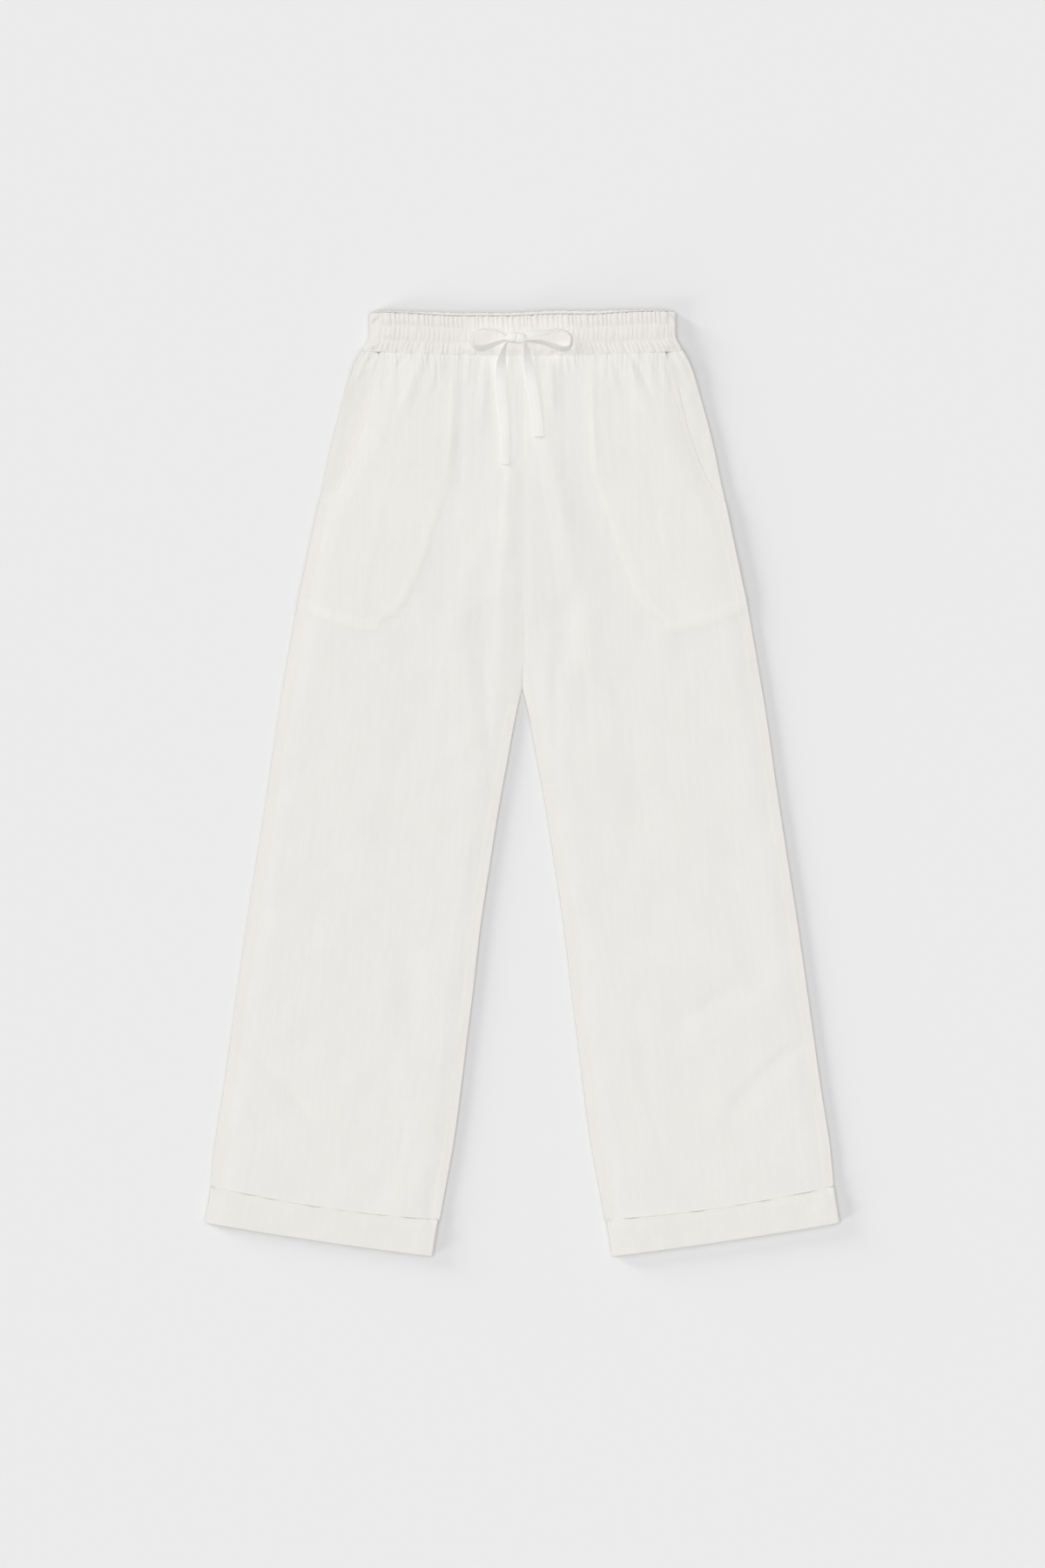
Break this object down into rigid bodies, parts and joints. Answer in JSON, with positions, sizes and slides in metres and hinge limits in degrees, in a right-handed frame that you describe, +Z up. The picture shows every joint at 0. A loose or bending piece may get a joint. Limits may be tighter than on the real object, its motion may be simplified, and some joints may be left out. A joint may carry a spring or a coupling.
{
  "type": "linen drawstring trousers",
  "caption": "Wide-leg linen trousers laid flat, with a gathered elastic waistband, a bow-tied drawstring, slanted side pockets and turned-up hems.",
  "frame": {"origin": "under the middle of the garment, on the surface it lies on (the drawstring is left out of the measure)", "axes": "+Y from the hems to the waist along the garment's length, +X to the wearer's left (the viewer's right) across it, +Z up from the back of the cloth to its front"},
  "size_m": [0.685, 1.021, 0.0173],
  "materials": {
    "linen": "washed white linen, plain weave, matt",
    "gathered_band": "doubled linen gathered on elastic, matt",
    "pocket_linen": "washed white linen, plain weave, matt",
    "hem_linen": "doubled linen, pressed and topstitched, matt",
    "tape": "stitched linen tape, matt"
  },
  "bodies": {
    "root": {"waistband": "gathered_band", "front_left": "linen", "front_right": "linen", "back_left": "linen", "back_right": "linen", "pocket_left": "pocket_linen", "pocket_right": "pocket_linen", "hem_left": "hem_linen", "hem_right": "hem_linen", "drawstring_loop_left": "tape", "drawstring_loop_right": "tape", "drawstring_tail_left": "tape", "drawstring_tail_right": "tape", "drawstring_knot": "tape"}
  },
  "joints": []
}
